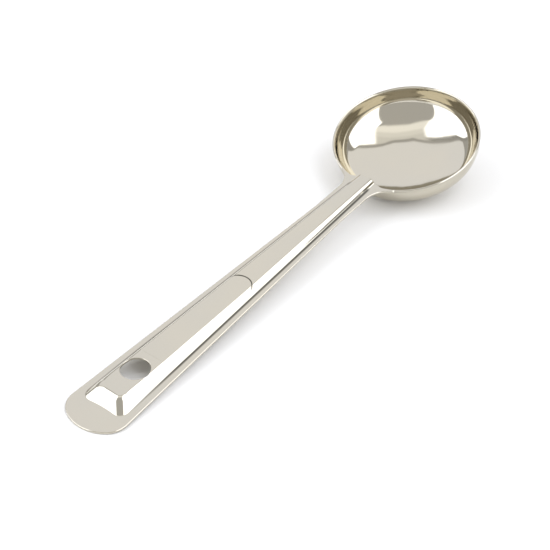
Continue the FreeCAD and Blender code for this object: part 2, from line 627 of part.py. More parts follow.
failed = [item.Name for item in doc.Objects if "Invalid" in item.State or "Error" in item.State]
if failed:
    raise RuntimeError("these objects failed: " + ", ".join(failed))
ladle = strip.Shape
if ladle.isNull() or not ladle.isValid() or len(ladle.Solids) != 1:
    raise RuntimeError("the ladle is not one sound solid")
for step in (joined, footed, hollowed, opened, crested, hole, holed, stamped, whole):
    if not step.Shape.isValid():
        raise RuntimeError(step.Name + " made an unsound shape")
if footed.Shape.Volume - hollowed.Shape.Volume < 1 or holed.Shape.Volume - stamped.Shape.Volume < 1:
    raise RuntimeError("the hollow or the panel cut nothing")

os.makedirs("parts", exist_ok=True)
ladle.exportStep("parts/ladle.step")
box = ladle.optimalBoundingBox(False)
print("box", [round(v, 3) for v in (box.XMin, box.XMax, box.YMin, box.YMax, box.ZMin, box.ZMax)])
print("volume", round(ladle.Volume, 1), "faces", len(ladle.Faces))
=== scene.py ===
"""A polished one-piece ladle lying on a pale floor in soft studio light."""

import math

import bpy
import numpy as np
from mathutils import Matrix, Vector


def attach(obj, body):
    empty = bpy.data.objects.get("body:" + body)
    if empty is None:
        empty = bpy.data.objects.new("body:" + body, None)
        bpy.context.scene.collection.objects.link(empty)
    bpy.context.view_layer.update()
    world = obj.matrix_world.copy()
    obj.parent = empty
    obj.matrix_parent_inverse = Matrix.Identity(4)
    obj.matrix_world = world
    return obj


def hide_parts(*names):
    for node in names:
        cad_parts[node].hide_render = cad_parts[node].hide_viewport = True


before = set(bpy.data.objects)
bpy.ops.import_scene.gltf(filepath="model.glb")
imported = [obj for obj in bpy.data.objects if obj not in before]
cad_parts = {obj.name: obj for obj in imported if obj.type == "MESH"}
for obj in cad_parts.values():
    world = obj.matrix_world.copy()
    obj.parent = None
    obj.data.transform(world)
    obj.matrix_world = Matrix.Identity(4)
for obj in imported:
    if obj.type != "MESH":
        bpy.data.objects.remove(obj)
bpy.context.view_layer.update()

# Sizes of the ladle as in its source, lengths in millimetres
GAUGE = 1.2
HANDLE_LENGTH = 244.0
END_WIDTH = 37.8
END_TIP_RADIUS = 24.0
END_CORNER_RADIUS = 12.5
TAPER_STOP = HANDLE_LENGTH - 34.0
NECK_WIDTH = 20.2
NECK_FLARE_RADIUS = 16.0
RIDGE_PLACES = (10.0, 135.0, HANDLE_LENGTH + 10.0)
FOOT_HALVES = (14.3, 9.8, 5.6)
TOP_HALVES = (9.0, 7.3, 4.1)
RIDGE_HEIGHTS = (6.8, 4.3, 3.3)
SHOULDER_RADII = (5.0, 5.0, 3.4)
NOSE_PLACE = 16.5
NOSE_SLOPE = math.radians(50.0)
FOOT_RADIUS = 1.5
EDGE_ROUND = 0.3
HOLE_PLACE = 43.0
HOLE_RADIUS = 8.0
HOLE_ROUND = 0.3
PANEL_NEAR = 55.5
PANEL_FAR = 133.7
PANEL_ROUND = 8.6
PANEL_DROP = 0.3
RIM_RADIUS = 45.0
BOWL_DEPTH = 24.5
SIDE_RADIUS = 16.0
LIP_RADIUS = 6.0
LIP_ANGLE = math.radians(25.0)
RIM_STEP = 0.9
BEND = math.radians(10.5)

# Softer forms that only the looks have: crest in the bowl, nose of the ridge, border of the panel
CREST_ROUND = 0.7
CREST_REACH = 2.2
CREST_SIDE = 12.0
CREST_EASE = 6.0
NOSE_BOW = 1.2
NOSE_BOW_SHIFT = 0.35
NOSE_HALF = 13.0
NOSE_CORNER = 6.5
NOSE_CROWN = 7.5
NOSE_SOFT_REACH = 20.0
NOSE_EASE = 14.0
PANEL_BORDER = 0.5

# Painted shade: dark lines along the feet of the ridge and round the far end of the panel
CREASE_INSIDE = 0.6
CREASE_OUTSIDE = 2.0
CREASE_FALL = 1.3
CREASE_START = NOSE_PLACE + 1.0
CREASE_GROWTH = 45.0
CREASE_STOP = HANDLE_LENGTH - 1.0
CREASE_FADE = 4.0
CREASE_UNDER = 0.6
CREASE_UNDER_FADE = 0.4
PANEL_LINE = 0.3
PANEL_LINE_FULL = 1.5
PANEL_LINE_START = 1.5
PANEL_LINE_GROWTH = 3.0
PANEL_LINE_OVER = 1.5

# Fineness of the mesh
BOWL_PARTS = 288
BOWL_BASE_POINTS = 40
BOWL_SIDE_POINTS = 40
LIP_POINTS = 10
LIP_EDGE_POINTS = 17
FLAT_COLUMNS = 9
SHOULDER_COLUMNS = 15
FLANK_COLUMNS = 8
FOOT_COLUMNS = 11
MARGIN_COLUMNS = 11
HOLE_PATCH_HALF = FLAT_COLUMNS + SHOULDER_COLUMNS - 2
HOLE_PATCH_MARGIN = 2.2
HOLE_RINGS = 8
TIP_ROWS = 34
TIP_CORNER_SHARE = 0.62
TIP_PATCH_END = 14.6
NOSE_ROWS_END = 28.0
NECK_ROWS = 34
NECK_ROWS_BIAS = 0.8
NECK_PLACES = 160
NECK_PLACES_PAST = 3.0
CREST_TURNS = [math.radians(a) for a in (0, 15, 30, 45, 60, 75, 90)]
HOLE_TURNS = [math.radians(a) for a in (22.5, 45, 67.5, 90)]
EDGE_TURNS = [math.radians(a) for a in (30, 60, 90)]
SHARP_ANGLE = math.radians(32)

# Bounds and closeness of the searches for the skin and for the outline
SKIN_LOW = -3.0
SKIN_HIGH = 8.0
SKIN_HALVINGS = 34
OUTLINE_REACH = 400.0
OUTLINE_HALVINGS = 50
NECK_TRIES = 60
NECK_CLOSE = 0.002
SAME_POINT = 1e-6

# Places that follow from the sizes
LIP_X = RIM_RADIUS - GAUGE / 2 + (LIP_RADIUS - GAUGE / 2) * math.cos(LIP_ANGLE)
LIP_Z = -GAUGE / 2 - (LIP_RADIUS - GAUGE / 2) * math.sin(LIP_ANGLE)
SIDE_X = LIP_X - LIP_RADIUS - SIDE_RADIUS
SIDE_RISE = BOWL_DEPTH + LIP_Z - SIDE_RADIUS
BASE_RADIUS = SIDE_X ** 2 / (2 * SIDE_RISE) + SIDE_RADIUS + SIDE_RISE / 2
BASE_Z = BASE_RADIUS - BOWL_DEPTH
BASE_TURN = math.asin(SIDE_X / (BASE_RADIUS - SIDE_RADIUS))
INNER_RIM = LIP_X - LIP_RADIUS * math.cos(LIP_ANGLE)
BOWL_PLACE = HANDLE_LENGTH + RIM_RADIUS * math.cos(BEND)
BOWL_HEIGHT = RIM_RADIUS * math.sin(BEND) - RIM_STEP
LEAN_X = BOWL_PLACE - BASE_Z * math.sin(BEND) - EDGE_ROUND
LEAN_Z = BOWL_HEIGHT + BASE_Z * math.cos(BEND) + GAUGE - EDGE_ROUND
LEAN = (math.asin((BASE_RADIUS + GAUGE - EDGE_ROUND) / math.hypot(LEAN_X, LEAN_Z))
        - math.atan(LEAN_Z / LEAN_X))
NEAR_EDGE = EDGE_ROUND * (math.cos(LEAN) + math.sin(LEAN) - 1)
BOWL_FAR = BOWL_PLACE * math.cos(LEAN) - BOWL_HEIGHT * math.sin(LEAN)
FAR_EDGE = (BOWL_FAR + SIDE_X * math.cos(BEND + LEAN) - LIP_Z * math.sin(BEND + LEAN)
            + SIDE_RADIUS + GAUGE)
REST_X = -(NEAR_EDGE + FAR_EDGE) / 2
REST_Z = EDGE_ROUND + (GAUGE - EDGE_ROUND) * math.cos(LEAN) - EDGE_ROUND * math.sin(LEAN)
HALF_NECK = NECK_WIDTH / 2
FLARE_Y = HALF_NECK + NECK_FLARE_RADIUS
FLARE_REACH = RIM_RADIUS + NECK_FLARE_RADIUS
FLARE_X = BOWL_PLACE - math.sqrt(FLARE_REACH ** 2 - FLARE_Y ** 2)
FLARE_END_X = BOWL_PLACE - RIM_RADIUS * (BOWL_PLACE - FLARE_X) / FLARE_REACH
FLARE_END_Y = RIM_RADIUS * FLARE_Y / FLARE_REACH
FLARE_TURN = math.atan2(BOWL_PLACE - FLARE_X, FLARE_Y)
CORNER_Y = END_WIDTH / 2 - END_CORNER_RADIUS
CORNER_X = END_TIP_RADIUS - math.sqrt((END_TIP_RADIUS - END_CORNER_RADIUS) ** 2 - CORNER_Y ** 2)
SIDE_RUN = (TAPER_STOP - CORNER_X, HALF_NECK - CORNER_Y)
SIDE_TURN = (math.atan2(SIDE_RUN[1], SIDE_RUN[0])
             + math.acos(END_CORNER_RADIUS / math.hypot(*SIDE_RUN)))
SIDE_START_X = CORNER_X + END_CORNER_RADIUS * math.cos(SIDE_TURN)
SIDE_START_Y = CORNER_Y + END_CORNER_RADIUS * math.sin(SIDE_TURN)
TIP_STRETCH = END_TIP_RADIUS / (END_TIP_RADIUS - END_CORNER_RADIUS)
TIP_TURN = math.atan2(TIP_STRETCH * CORNER_Y, -TIP_STRETCH * (END_TIP_RADIUS - CORNER_X))
PANEL_REACH = PANEL_FAR - PANEL_ROUND


def eased(share):
    """Soft step: 0 up to a share of 0, 1 from a share of 1."""
    share = np.clip(share, 0, 1)
    return share * share * (3 - 2 * share)


def ridge_values(x):
    """Foot, top, height and shoulder of the ridge at places along the handle."""
    return [np.interp(x, RIDGE_PLACES, values)
            for values in (FOOT_HALVES, TOP_HALVES, RIDGE_HEIGHTS, SHOULDER_RADII)]


def rounded(first, second, first_normal, second_normal, radius):
    """Distance to the solid inside two surfaces, with their edge rounded, and its normal."""
    cosine = np.clip(np.sum(first_normal * second_normal, axis=-1), -1, 0.99999)
    a = first + radius
    b = second + radius
    sine2 = 1 - cosine ** 2
    share_a = (a - b * cosine) / sine2
    share_b = (b - a * cosine) / sine2
    in_round = (share_a > 0) & (share_b > 0)
    arm = share_a[..., None] * first_normal + share_b[..., None] * second_normal
    length = np.maximum(np.linalg.norm(arm, axis=-1), 1e-9)
    first_wins = first > second
    value = np.where(in_round, length - radius, np.where(first_wins, first, second))
    normal = np.where(in_round[..., None], arm / length[..., None],
                      np.where(first_wins[..., None], first_normal, second_normal))
    return value, normal


def nose_distance(x, y, z):
    """Signed distance from the sloped, slightly bowed face at the near end of the ridge, and its normal."""
    bow = NOSE_BOW * (NOSE_BOW_SHIFT - (y / NOSE_HALF) ** 2)
    nose = (NOSE_PLACE + bow - x) * math.sin(NOSE_SLOPE) + z * math.cos(NOSE_SLOPE)
    aside = -2 * NOSE_BOW * y / NOSE_HALF ** 2 * math.sin(NOSE_SLOPE)
    zero = np.zeros_like(x)
    normal = np.stack([zero - math.sin(NOSE_SLOPE), aside, zero + math.cos(NOSE_SLOPE)], axis=-1)
    length = np.linalg.norm(normal, axis=-1)
    return nose / length, normal / length[..., None]


def handle_distance(x, y, z):
    """Signed distance from the top skin of the handle: below zero is inside the sheet."""
    foot, top, height, shoulder = ridge_values(x)
    slope = np.arctan(height / (foot - top))
    sign = np.where(y < 0, -1.0, 1.0)
    zero = np.zeros_like(x)
    upright = np.stack([zero, zero, zero + 1], axis=-1)
    flank = (np.abs(y) - foot) * np.sin(slope) + z * np.cos(slope)
    flank_normal = np.stack([zero, sign * np.sin(slope), np.cos(slope)], axis=-1)
    nose, nose_normal = nose_distance(x, y, z)
    corner, corner_normal = rounded(flank, nose, flank_normal, nose_normal, NOSE_CORNER)
    near_nose = eased((NOSE_PLACE + NOSE_SOFT_REACH - x) / NOSE_EASE)
    soft = shoulder + (NOSE_CROWN - shoulder) * near_nose
    ridge, ridge_normal = rounded(z - height, corner, upright, corner_normal, soft)
    painted_shade, _ = rounded(-ridge, -z, -ridge_normal, -upright, FOOT_RADIUS)
    return -painted_shade


def skin_height(x, y, depth):
    """Height of the skin that lies one depth under the top of the sheet."""
    low = np.full_like(x, SKIN_LOW)
    high = np.full_like(x, SKIN_HIGH)
    for _ in range(SKIN_HALVINGS):
        middle = (low + high) / 2
        outside = handle_distance(x, y, middle) > -depth
        high = np.where(outside, middle, high)
        low = np.where(outside, low, middle)
    return (low + high) / 2


def panel_drop(x, y, z):
    """Lowers the top skin to the flat panel, with soft borders at its two ends."""
    beside = np.abs(y) - PANEL_ROUND
    border = np.where(x < PANEL_REACH, beside, np.hypot(x - PANEL_REACH, y) - PANEL_ROUND)
    border = np.maximum(border, PANEL_NEAR - x)
    floor_line = np.interp(x, RIDGE_PLACES, RIDGE_HEIGHTS) - PANEL_DROP
    return z - eased(0.5 - border / PANEL_BORDER) * np.maximum(z - floor_line, 0)


def outline_point(run):
    """Point and outward normal of the handle's outline at a run from the middle of its round end."""
    tip_run = END_TIP_RADIUS * (math.pi - TIP_TURN)
    corner_run = END_CORNER_RADIUS * (TIP_TURN - SIDE_TURN)
    side_run = math.hypot(TAPER_STOP - SIDE_START_X, HALF_NECK - SIDE_START_Y)
    neck_run = FLARE_X - TAPER_STOP
    flare_run = NECK_FLARE_RADIUS * FLARE_TURN
    if run < tip_run:
        angle = math.pi - run / END_TIP_RADIUS
        return (END_TIP_RADIUS + END_TIP_RADIUS * math.cos(angle), END_TIP_RADIUS * math.sin(angle),
                math.cos(angle), math.sin(angle))
    run -= tip_run
    if run < corner_run:
        angle = TIP_TURN - run / END_CORNER_RADIUS
        return (CORNER_X + END_CORNER_RADIUS * math.cos(angle),
                CORNER_Y + END_CORNER_RADIUS * math.sin(angle),
                math.cos(angle), math.sin(angle))
    run -= corner_run
    if run < side_run:
        share = run / side_run
        return (SIDE_START_X + share * (TAPER_STOP - SIDE_START_X),
                SIDE_START_Y + share * (HALF_NECK - SIDE_START_Y),
                math.cos(SIDE_TURN), math.sin(SIDE_TURN))
    run -= side_run
    if run < neck_run:
        return (TAPER_STOP + run, HALF_NECK, 0.0, 1.0)
    run -= neck_run
    if run < flare_run:
        angle = run / NECK_FLARE_RADIUS
        return (FLARE_X + NECK_FLARE_RADIUS * math.sin(angle),
                FLARE_Y - NECK_FLARE_RADIUS * math.cos(angle),
                -math.sin(angle), math.cos(angle))
    run -= flare_run
    return (FLARE_END_X + run, FLARE_END_Y, 0.0, 1.0)


def border_point(run):
    """Point of the outline, drawn in by the edge's rounding."""
    x, y, outward_x, outward_y = outline_point(run)
    return np.array([x - EDGE_ROUND * outward_x, y - EDGE_ROUND * outward_y])


def border_at(x):
    """Half width inside the edge's rounding at one place along the handle, and the outline's run there."""
    low, high = 0.0, OUTLINE_REACH
    for _ in range(OUTLINE_HALVINGS):
        middle = (low + high) / 2
        if border_point(middle)[0] < x:
            low = middle
        else:
            high = middle
    return border_point(low)[1], low


def columns_at(x, half, depth):
    """Distances from the middle line of the mesh's columns: they follow the ridge's own lines."""
    foot, top, height, shoulder = [float(value[0]) for value in ridge_values(np.array([x]))]
    slope = math.atan(height / (foot - top))
    flat = top - shoulder * math.tan(slope / 2)
    radius = shoulder - depth
    shoulder_end = flat + radius * math.sin(slope)
    foot_end = foot + FOOT_RADIUS * math.tan(slope / 2)
    fillet = FOOT_RADIUS + depth
    fillet_start = foot_end - fillet * math.sin(slope)
    columns = list(np.linspace(0, flat, FLAT_COLUMNS))
    columns += [flat + radius * math.sin(a) for a in np.linspace(0, slope, SHOULDER_COLUMNS)[1:]]
    columns += list(np.linspace(shoulder_end, fillet_start, FLANK_COLUMNS)[1:])
    columns += [foot_end - fillet * math.sin(a) for a in np.linspace(slope, 0, FOOT_COLUMNS)[1:]]
    columns += list(np.linspace(foot_end, half, MARGIN_COLUMNS)[1:])
    return np.array(columns)


def both_sides(columns):
    """The columns of one side and their mirror image, from one border to the other."""
    return np.concatenate([-columns[:0:-1], columns])


def straight_places():
    """Places of the straight rows between the round end and the neck, closest where the form turns."""
    runs = (
        (TIP_PATCH_END, NOSE_ROWS_END, 0.2),
        (NOSE_ROWS_END, PANEL_NEAR - 0.4, 0.6),
        (PANEL_NEAR - 0.4, PANEL_NEAR + 0.45, 0.1),
        (PANEL_NEAR + 1.0, PANEL_REACH - 1.0, 1.5),
        (PANEL_REACH - 1.0, PANEL_FAR + 0.8, 0.12),
        (PANEL_FAR + 1.3, TAPER_STOP + 6.0, 1.5),
    )
    return [x for start, stop, step in runs for x in np.arange(start, stop, step)]


def tip_rows(first, depth):
    """Rows of the round end: a patch between the outline and the first straight row."""
    half, run = border_at(first)
    shares = both_sides(columns_at(first, half, depth) / half)
    corner_run = run * TIP_CORNER_SHARE
    tip = np.array([border_point(abs(share) * corner_run) for share in shares])
    tip[:, 1] *= np.where(shares >= 0, 1, -1)
    far = np.stack([np.full(len(shares), first), shares * half], axis=1)
    across = (shares[:, None] + 1) / 2
    rows = []
    for step in np.linspace(0, 1, TIP_ROWS, endpoint=False):
        side = border_point(corner_run + step * (run - corner_run))
        other = side * (1, -1)
        ruled = (1 - step) * tip + step * far
        sides = (1 - across) * other + across * side
        corners = ((1 - across) * ((1 - step) * tip[0] + step * far[0])
                   + across * ((1 - step) * tip[-1] + step * far[-1]))
        rows.append(ruled + sides - corners)
    return rows


def neck_rows(last, count, depth):
    """Rows of the neck: they bend until they lie on the round wall of the bowl."""
    places = np.linspace(last - 1, FLARE_END_X + NECK_PLACES_PAST, NECK_PLACES)
    table = np.array([columns_at(place, border_at(place)[0], depth) for place in places])
    column = np.arange(count) - count // 2
    sign = np.where(column < 0, -1.0, 1.0)
    index = np.abs(column)
    length = HANDLE_LENGTH - last
    steps = list(np.linspace(0, 1, NECK_ROWS)[1:-1] ** NECK_ROWS_BIAS)
    steps += [1 - CREST_ROUND * (1 - math.sin(turn)) / length for turn in CREST_TURNS]
    rows = []
    for step in steps:
        x = np.full(count, last + step * length)
        for _ in range(NECK_TRIES):
            y = sign * np.array([np.interp(place, places, table[:, k]) for place, k in zip(x, index)])
            z = skin_height(x, y, depth)
            inside = CREST_REACH * eased((CREST_SIDE - np.abs(y)) / CREST_EASE) if depth == 0.0 else 0.0
            wall = np.sqrt((INNER_RIM - inside) ** 2 - y ** 2)
            end = BOWL_PLACE - (wall + (z - BOWL_HEIGHT) * math.sin(BEND)) / math.cos(BEND)
            target = last + step * (end - last)
            if np.abs(target - x).max() < NECK_CLOSE:
                break
            x = 0.5 * x + 0.5 * target
        rows.append(np.stack([x, y], axis=1))
    return rows


def handle_skin(depth):
    """Places of all the points of one skin of the handle, row by row from the round end to the bowl."""
    places = straight_places()
    rows = tip_rows(places[0], depth)
    for x in places:
        across = both_sides(columns_at(x, border_at(x)[0], depth))
        rows.append(np.stack([np.full(len(across), x), across], axis=1))
    rows += neck_rows(places[-1], len(across), depth)
    grid = np.array(rows)
    x, y = grid[..., 0], grid[..., 1]
    z = skin_height(x, y, depth)
    if depth == 0.0:
        z = panel_drop(x, y, z)
        crest = np.array([CREST_ROUND * (1 - math.cos(turn)) for turn in CREST_TURNS])
        z[-len(crest):] -= crest[:, None]
    return np.stack([x, y, z], axis=-1)


def strip(first, second, closed=False):
    """Four-cornered faces between two rows of points that lie side by side."""
    count = len(first)
    return [(first[k], second[k], second[(k + 1) % count], first[(k + 1) % count])
            for k in range(count if closed else count - 1)]


class Sheet:
    """Points and faces of the handle, while it is made."""

    def __init__(self):
        self.points = []
        self.faces = []

    def add(self, rows):
        """Takes new points and gives their numbers."""
        start = len(self.points)
        self.points.extend(tuple(row) for row in rows)
        return np.arange(start, len(self.points))

    def cover(self, faces, flipped):
        """Takes new faces, turned over where they are flipped."""
        self.faces.extend([face[::-1] for face in faces] if flipped else faces)


def skin_faces(sheet, numbers, patch, underside):
    """Faces of one skin, without the patch that carries the hole."""
    low, high, left, right = patch
    for i in range(len(numbers) - 1):
        faces = strip(numbers[i], numbers[i + 1])
        if low <= i < high:
            faces = faces[:left] + faces[right:]
        sheet.cover(faces, underside)


def hole_rings(sheet, skin, numbers, patch, underside):
    """Rings from the border of the patch to the hole and over its rounded edge; gives the last ring."""
    low, high, left, right = patch
    around = ([(low, j) for j in range(left, right)] + [(i, right) for i in range(low, high)]
              + [(high, j) for j in range(right, left, -1)] + [(i, left) for i in range(high, low, -1)])
    border = np.array([(skin[i, j, 0] - HOLE_PLACE, skin[i, j, 1]) for i, j in around])
    outward = border / np.linalg.norm(border, axis=1)[:, None]
    rim = outward * (HOLE_RADIUS + HOLE_ROUND)
    previous = np.array([numbers[i, j] for i, j in around])
    for step in np.linspace(0, 1, HOLE_RINGS + 1)[1:]:
        place = border + step * (rim - border)
        x, y = place[:, 0] + HOLE_PLACE, place[:, 1]
        z = skin_height(x, y, GAUGE if underside else 0.0)
        now = sheet.add(np.stack([x, y, z], axis=1))
        sheet.cover(strip(previous, now, closed=True), not underside)
        previous = now
    sign = 1 if underside else -1
    for turn in HOLE_TURNS:
        reach = HOLE_RADIUS + HOLE_ROUND * (1 - math.sin(turn))
        x, y = outward[:, 0] * reach + HOLE_PLACE, outward[:, 1] * reach
        now = sheet.add(np.stack([x, y, z + sign * HOLE_ROUND * (1 - math.cos(turn))], axis=1))
        sheet.cover(strip(previous, now, closed=True), not underside)
        previous = now
    return previous


def edge_line(skin, numbers):
    """One side's border, round the end and back along the other side: numbers, points, way out."""
    rows, columns = numbers.shape
    chain = ([(i, 0) for i in range(rows - 1, 0, -1)] + [(0, j) for j in range(columns)]
             + [(i, columns - 1) for i in range(1, rows)])
    line = np.array([skin[i, j] for i, j in chain])
    along = np.gradient(line[:, :2], axis=0)
    outward = np.stack([-along[:, 1], along[:, 0]], axis=1)
    outward /= np.linalg.norm(outward, axis=1)[:, None]
    return np.array([numbers[i, j] for i, j in chain]), line, outward


def edge_rings(sheet, skins, numbers):
    """Rings of the rounded edge from the top skin to the underside."""
    top, top_line, top_out = edge_line(skins[0], numbers[0])
    low, low_line, low_out = edge_line(skins[1], numbers[1])
    rings = [top]
    for line, outward, sign, turns in ((top_line, top_out, -1, EDGE_TURNS),
                                       (low_line, low_out, 1, EDGE_TURNS[::-1])):
        for turn in turns:
            place = line.copy()
            place[:, :2] += outward * EDGE_ROUND * math.sin(turn)
            place[:, 2] += sign * EDGE_ROUND * (1 - math.cos(turn))
            rings.append(sheet.add(place))
    return rings + [low]


def handle_mesh():
    """Points and faces of the whole handle: two skins, the hanging hole, a rounded edge and the end wall."""
    sheet = Sheet()
    skins = [handle_skin(0.0), handle_skin(GAUGE)]
    middle = skins[0].shape[1] // 2
    middle_x = skins[0][:, middle, 0]
    patch = (int(np.searchsorted(middle_x, HOLE_PLACE - HOLE_RADIUS - HOLE_PATCH_MARGIN)),
             int(np.searchsorted(middle_x, HOLE_PLACE + HOLE_RADIUS + HOLE_PATCH_MARGIN)),
             middle - HOLE_PATCH_HALF, middle + HOLE_PATCH_HALF)
    numbers = []
    for skin, underside in zip(skins, (False, True)):
        numbers.append(sheet.add(skin.reshape(-1, 3)).reshape(skin.shape[:2]))
        skin_faces(sheet, numbers[-1], patch, underside)
    top_ring, low_ring = [hole_rings(sheet, skins[side], numbers[side], patch, side == 1) for side in (0, 1)]
    for k in range(len(top_ring)):
        m = (k + 1) % len(top_ring)
        sheet.faces.append((top_ring[k], top_ring[m], low_ring[m], low_ring[k]))
    rings = edge_rings(sheet, skins, numbers)
    for first, second in zip(rings[:-1], rings[1:]):
        for k in range(len(first) - 1):
            sheet.faces.append((second[k], second[k + 1], first[k + 1], first[k]))
    sheet.faces.extend(strip(numbers[0][-1], numbers[1][-1]))
    sheet.faces.append(tuple(ring[0] for ring in rings))
    sheet.faces.append(tuple(ring[-1] for ring in rings)[::-1])
    return np.array(sheet.points), sheet.faces


def bowl_line():
    """Section of the bowl about its axis, from the middle of the inside over the rim to the outside."""
    line = []

    def sweep(middle_x, middle_z, radius, start, stop, count):
        for angle in np.linspace(start, stop, count):
            line.append((middle_x + radius * math.cos(angle), middle_z + radius * math.sin(angle)))

    down = -math.pi / 2
    turned = down + BASE_TURN
    lip_turn = math.pi - LIP_ANGLE
    sweep(0, BASE_Z, BASE_RADIUS, down, turned, BOWL_BASE_POINTS)
    sweep(SIDE_X, LIP_Z, SIDE_RADIUS, turned, 0, BOWL_SIDE_POINTS)
    sweep(LIP_X, LIP_Z, LIP_RADIUS, math.pi, lip_turn, LIP_POINTS)
    edge_x = LIP_X - (LIP_RADIUS - GAUGE / 2) * math.cos(LIP_ANGLE)
    edge_z = LIP_Z + (LIP_RADIUS - GAUGE / 2) * math.sin(LIP_ANGLE)
    sweep(edge_x, edge_z, GAUGE / 2, lip_turn, -LIP_ANGLE, LIP_EDGE_POINTS)
    sweep(LIP_X, LIP_Z, LIP_RADIUS - GAUGE, lip_turn, math.pi, LIP_POINTS)
    sweep(SIDE_X, LIP_Z, SIDE_RADIUS + GAUGE, 0, turned, BOWL_SIDE_POINTS)
    sweep(0, BASE_Z, BASE_RADIUS + GAUGE, turned, down, BOWL_BASE_POINTS)
    kept = [line[0]]
    for point in line[1:]:
        if math.dist(point, kept[-1]) > SAME_POINT:
            kept.append(point)
    return kept


def bowl_mesh():
    """Points and faces of the bowl, turned about its axis and placed beside the handle."""
    points = []
    faces = []
    rings = []
    for radius, height in bowl_line():
        start = len(points)
        if radius < SAME_POINT:
            points.append((0.0, 0.0, height))
            rings.append([start])
            continue
        for k in range(BOWL_PARTS):
            angle = 2 * math.pi * (k + 0.5) / BOWL_PARTS
            points.append((radius * math.cos(angle), radius * math.sin(angle), height))
        rings.append(list(range(start, start + BOWL_PARTS)))
    for first, second in zip(rings[:-1], rings[1:]):
        if len(first) == 1:
            faces += [(first[0], second[k], second[(k + 1) % BOWL_PARTS]) for k in range(BOWL_PARTS)]
        elif len(second) == 1:
            faces += [(first[k], second[0], first[(k + 1) % BOWL_PARTS]) for k in range(BOWL_PARTS)]
        else:
            faces += strip(first, second, closed=True)
    local = np.array(points)
    x = BOWL_PLACE + local[:, 0] * math.cos(BEND) - local[:, 2] * math.sin(BEND)
    z = BOWL_HEIGHT + local[:, 0] * math.sin(BEND) + local[:, 2] * math.cos(BEND)
    return np.stack([x, local[:, 1], z], axis=1), faces


def at_rest(points):
    """Handle frame in millimetres to the part's frame in metres."""
    x = REST_X + points[:, 0] * math.cos(LEAN) - points[:, 2] * math.sin(LEAN)
    z = REST_Z + points[:, 0] * math.sin(LEAN) + points[:, 2] * math.cos(LEAN)
    return np.stack([x, points[:, 1], z], axis=1) * 0.001


def from_rest(points):
    """The part's frame in metres back to the handle frame in millimetres."""
    across, y, up = (points * 1000).T
    across = across - REST_X
    up = up - REST_Z
    return (across * math.cos(LEAN) + up * math.sin(LEAN), y,
            up * math.cos(LEAN) - across * math.sin(LEAN))


def paint_crease_shade(mesh):
    """Gives each point a value that is 1 in the painted shade lines, along the feet of the ridge and round
    the far end of the panel, and falls to 0 beside them.
    """
    places = np.empty(len(mesh.vertices) * 3)
    mesh.vertices.foreach_get("co", places)
    x, y, z = from_rest(places.reshape(-1, 3))
    gap = np.abs(y) - ridge_values(x)[0]
    gap = np.where(gap < 0, -gap / CREASE_INSIDE, gap / CREASE_OUTSIDE)
    along = np.clip((x - CREASE_START) / CREASE_GROWTH, 0, 1) ** 0.5
    along = along * np.clip((CREASE_STOP - x) / CREASE_FADE, 0, 1)
    above = np.clip((z + CREASE_UNDER) / CREASE_UNDER_FADE, 0, 1)
    # painted shade along both feet of the ridge, fading out away from each foot
    feet_shade = np.clip(1.0 - gap, 0, 1) ** CREASE_FALL * along * above
    past = x - PANEL_REACH
    # painted shade in a thin line round the far end of the panel
    panel_arc_shade = np.clip(PANEL_LINE_FULL - np.abs(np.hypot(past, y) - PANEL_ROUND) / PANEL_LINE, 0, 1)
    panel_arc_shade = panel_arc_shade * np.clip((past - PANEL_LINE_START) / PANEL_LINE_GROWTH, 0, 1) * (z > PANEL_LINE_OVER)
    mesh.attributes.new("crease_shade", "FLOAT", "POINT")
    mesh.attributes["crease_shade"].data.foreach_set("value", np.maximum(feet_shade, panel_arc_shade).astype(np.float32))


def new_object(name, points, faces):
    """Mesh object from points in the part's frame."""
    mesh = bpy.data.meshes.new(name)
    mesh.from_pydata([tuple(p) for p in points], [], [tuple(int(v) for v in face) for face in faces])
    mesh.validate()
    mesh.update()
    made = bpy.data.objects.new(name, mesh)
    bpy.context.scene.collection.objects.link(made)
    return made


def joined(name, first, second):
    """One closed mesh from two that overlap."""
    step = first.modifiers.new("join", "BOOLEAN")
    step.operation = "UNION"
    step.solver = "EXACT"
    step.object = second
    graph = bpy.context.evaluated_depsgraph_get()
    mesh = bpy.data.meshes.new_from_object(first.evaluated_get(graph))
    bpy.data.objects.remove(first)
    bpy.data.objects.remove(second)
    made = bpy.data.objects.new(name, mesh)
    mesh.name = name
    bpy.context.scene.collection.objects.link(made)
    mesh.shade_smooth()
    mesh.set_sharp_from_angle(angle=SHARP_ANGLE)
    return made


handle_points, handle_faces = handle_mesh()
bowl_points, bowl_faces = bowl_mesh()
handle = new_object("handle_sheet", at_rest(handle_points), handle_faces)
bowl = new_object("bowl_sheet", at_rest(bowl_points), bowl_faces)
ladle = joined("ladle_sheet", handle, bowl)
paint_crease_shade(ladle.data)

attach(ladle, "root")
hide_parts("ladle")

# Floor
FLOOR_REACH = 6
floor_mesh = bpy.data.meshes.new("floor")
floor_corners = [(x * FLOOR_REACH, y * FLOOR_REACH, 0) for x, y in ((-1, -1), (1, -1), (1, 1), (-1, 1))]
floor_mesh.from_pydata(floor_corners, [], [(0, 1, 2, 3)])
floor = bpy.data.objects.new("floor", floor_mesh)
bpy.context.scene.collection.objects.link(floor)

